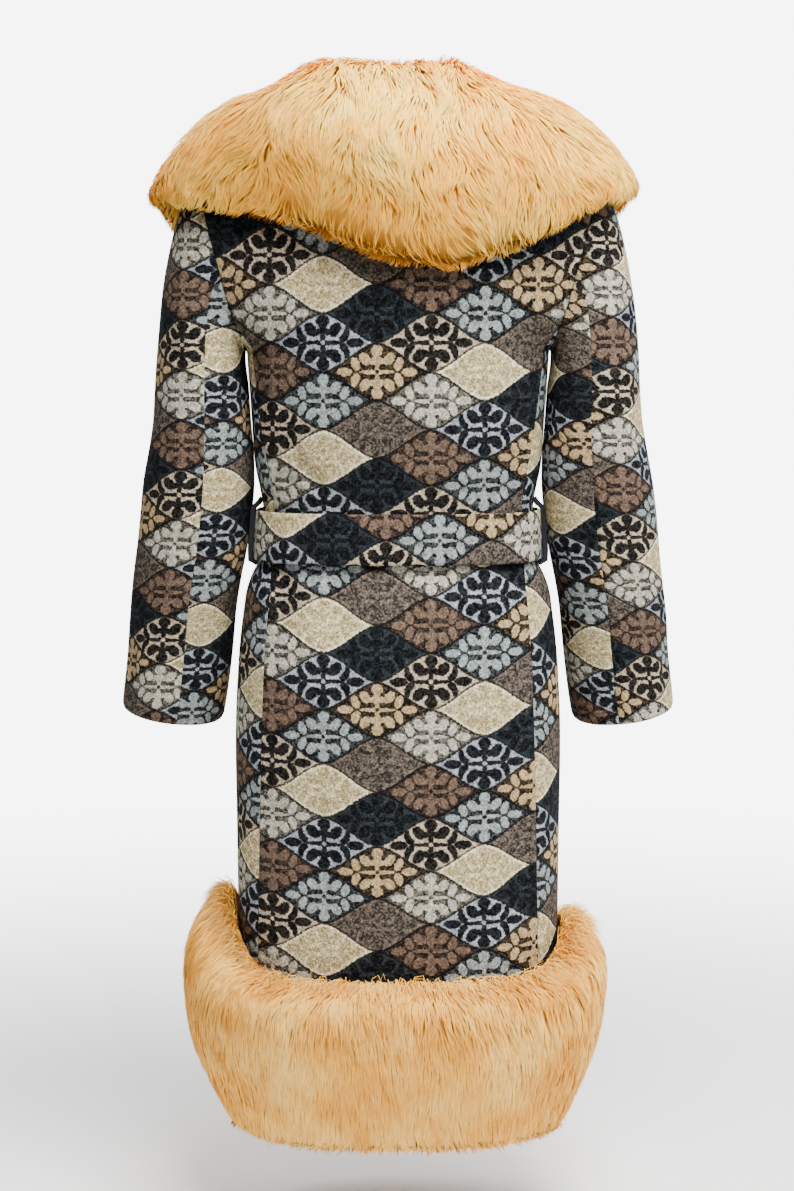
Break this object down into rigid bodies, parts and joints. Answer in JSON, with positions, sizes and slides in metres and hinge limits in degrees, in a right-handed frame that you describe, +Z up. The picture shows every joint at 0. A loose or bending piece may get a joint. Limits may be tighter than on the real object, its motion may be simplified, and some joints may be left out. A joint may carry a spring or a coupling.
{
  "type": "fur-trimmed tapestry coat",
  "caption": "Belted knee-length tapestry coat with a large fur shawl collar and a deep fur hem band, filled out as if worn, hollow, held at the shoulders.",
  "frame": {"origin": "between the wearer's shoulders, at the height of the shoulder tips, where the body carries the coat", "axes": "+Z up, the front faces -Y, the wearer's left is +X"},
  "size_m": [0.5892, 0.3472, 1.1019],
  "materials": {
    "tapestry": "woven jacquard, matt",
    "fox_fur": "long soft pile",
    "belt_tapestry": "woven jacquard, matt",
    "loop_wool": "dark wool"
  },
  "bodies": {
    "root": {"back_centre": "tapestry", "side_back_left": "tapestry", "side_back_right": "tapestry", "front_left": "tapestry", "front_right": "tapestry", "sleeve_upper_left": "tapestry", "sleeve_upper_right": "tapestry", "sleeve_under_left": "tapestry", "sleeve_under_right": "tapestry", "fur_collar": "fox_fur", "fur_hem": "fox_fur", "belt": "belt_tapestry", "belt_loop_left": "loop_wool", "belt_loop_right": "loop_wool"}
  },
  "joints": []
}
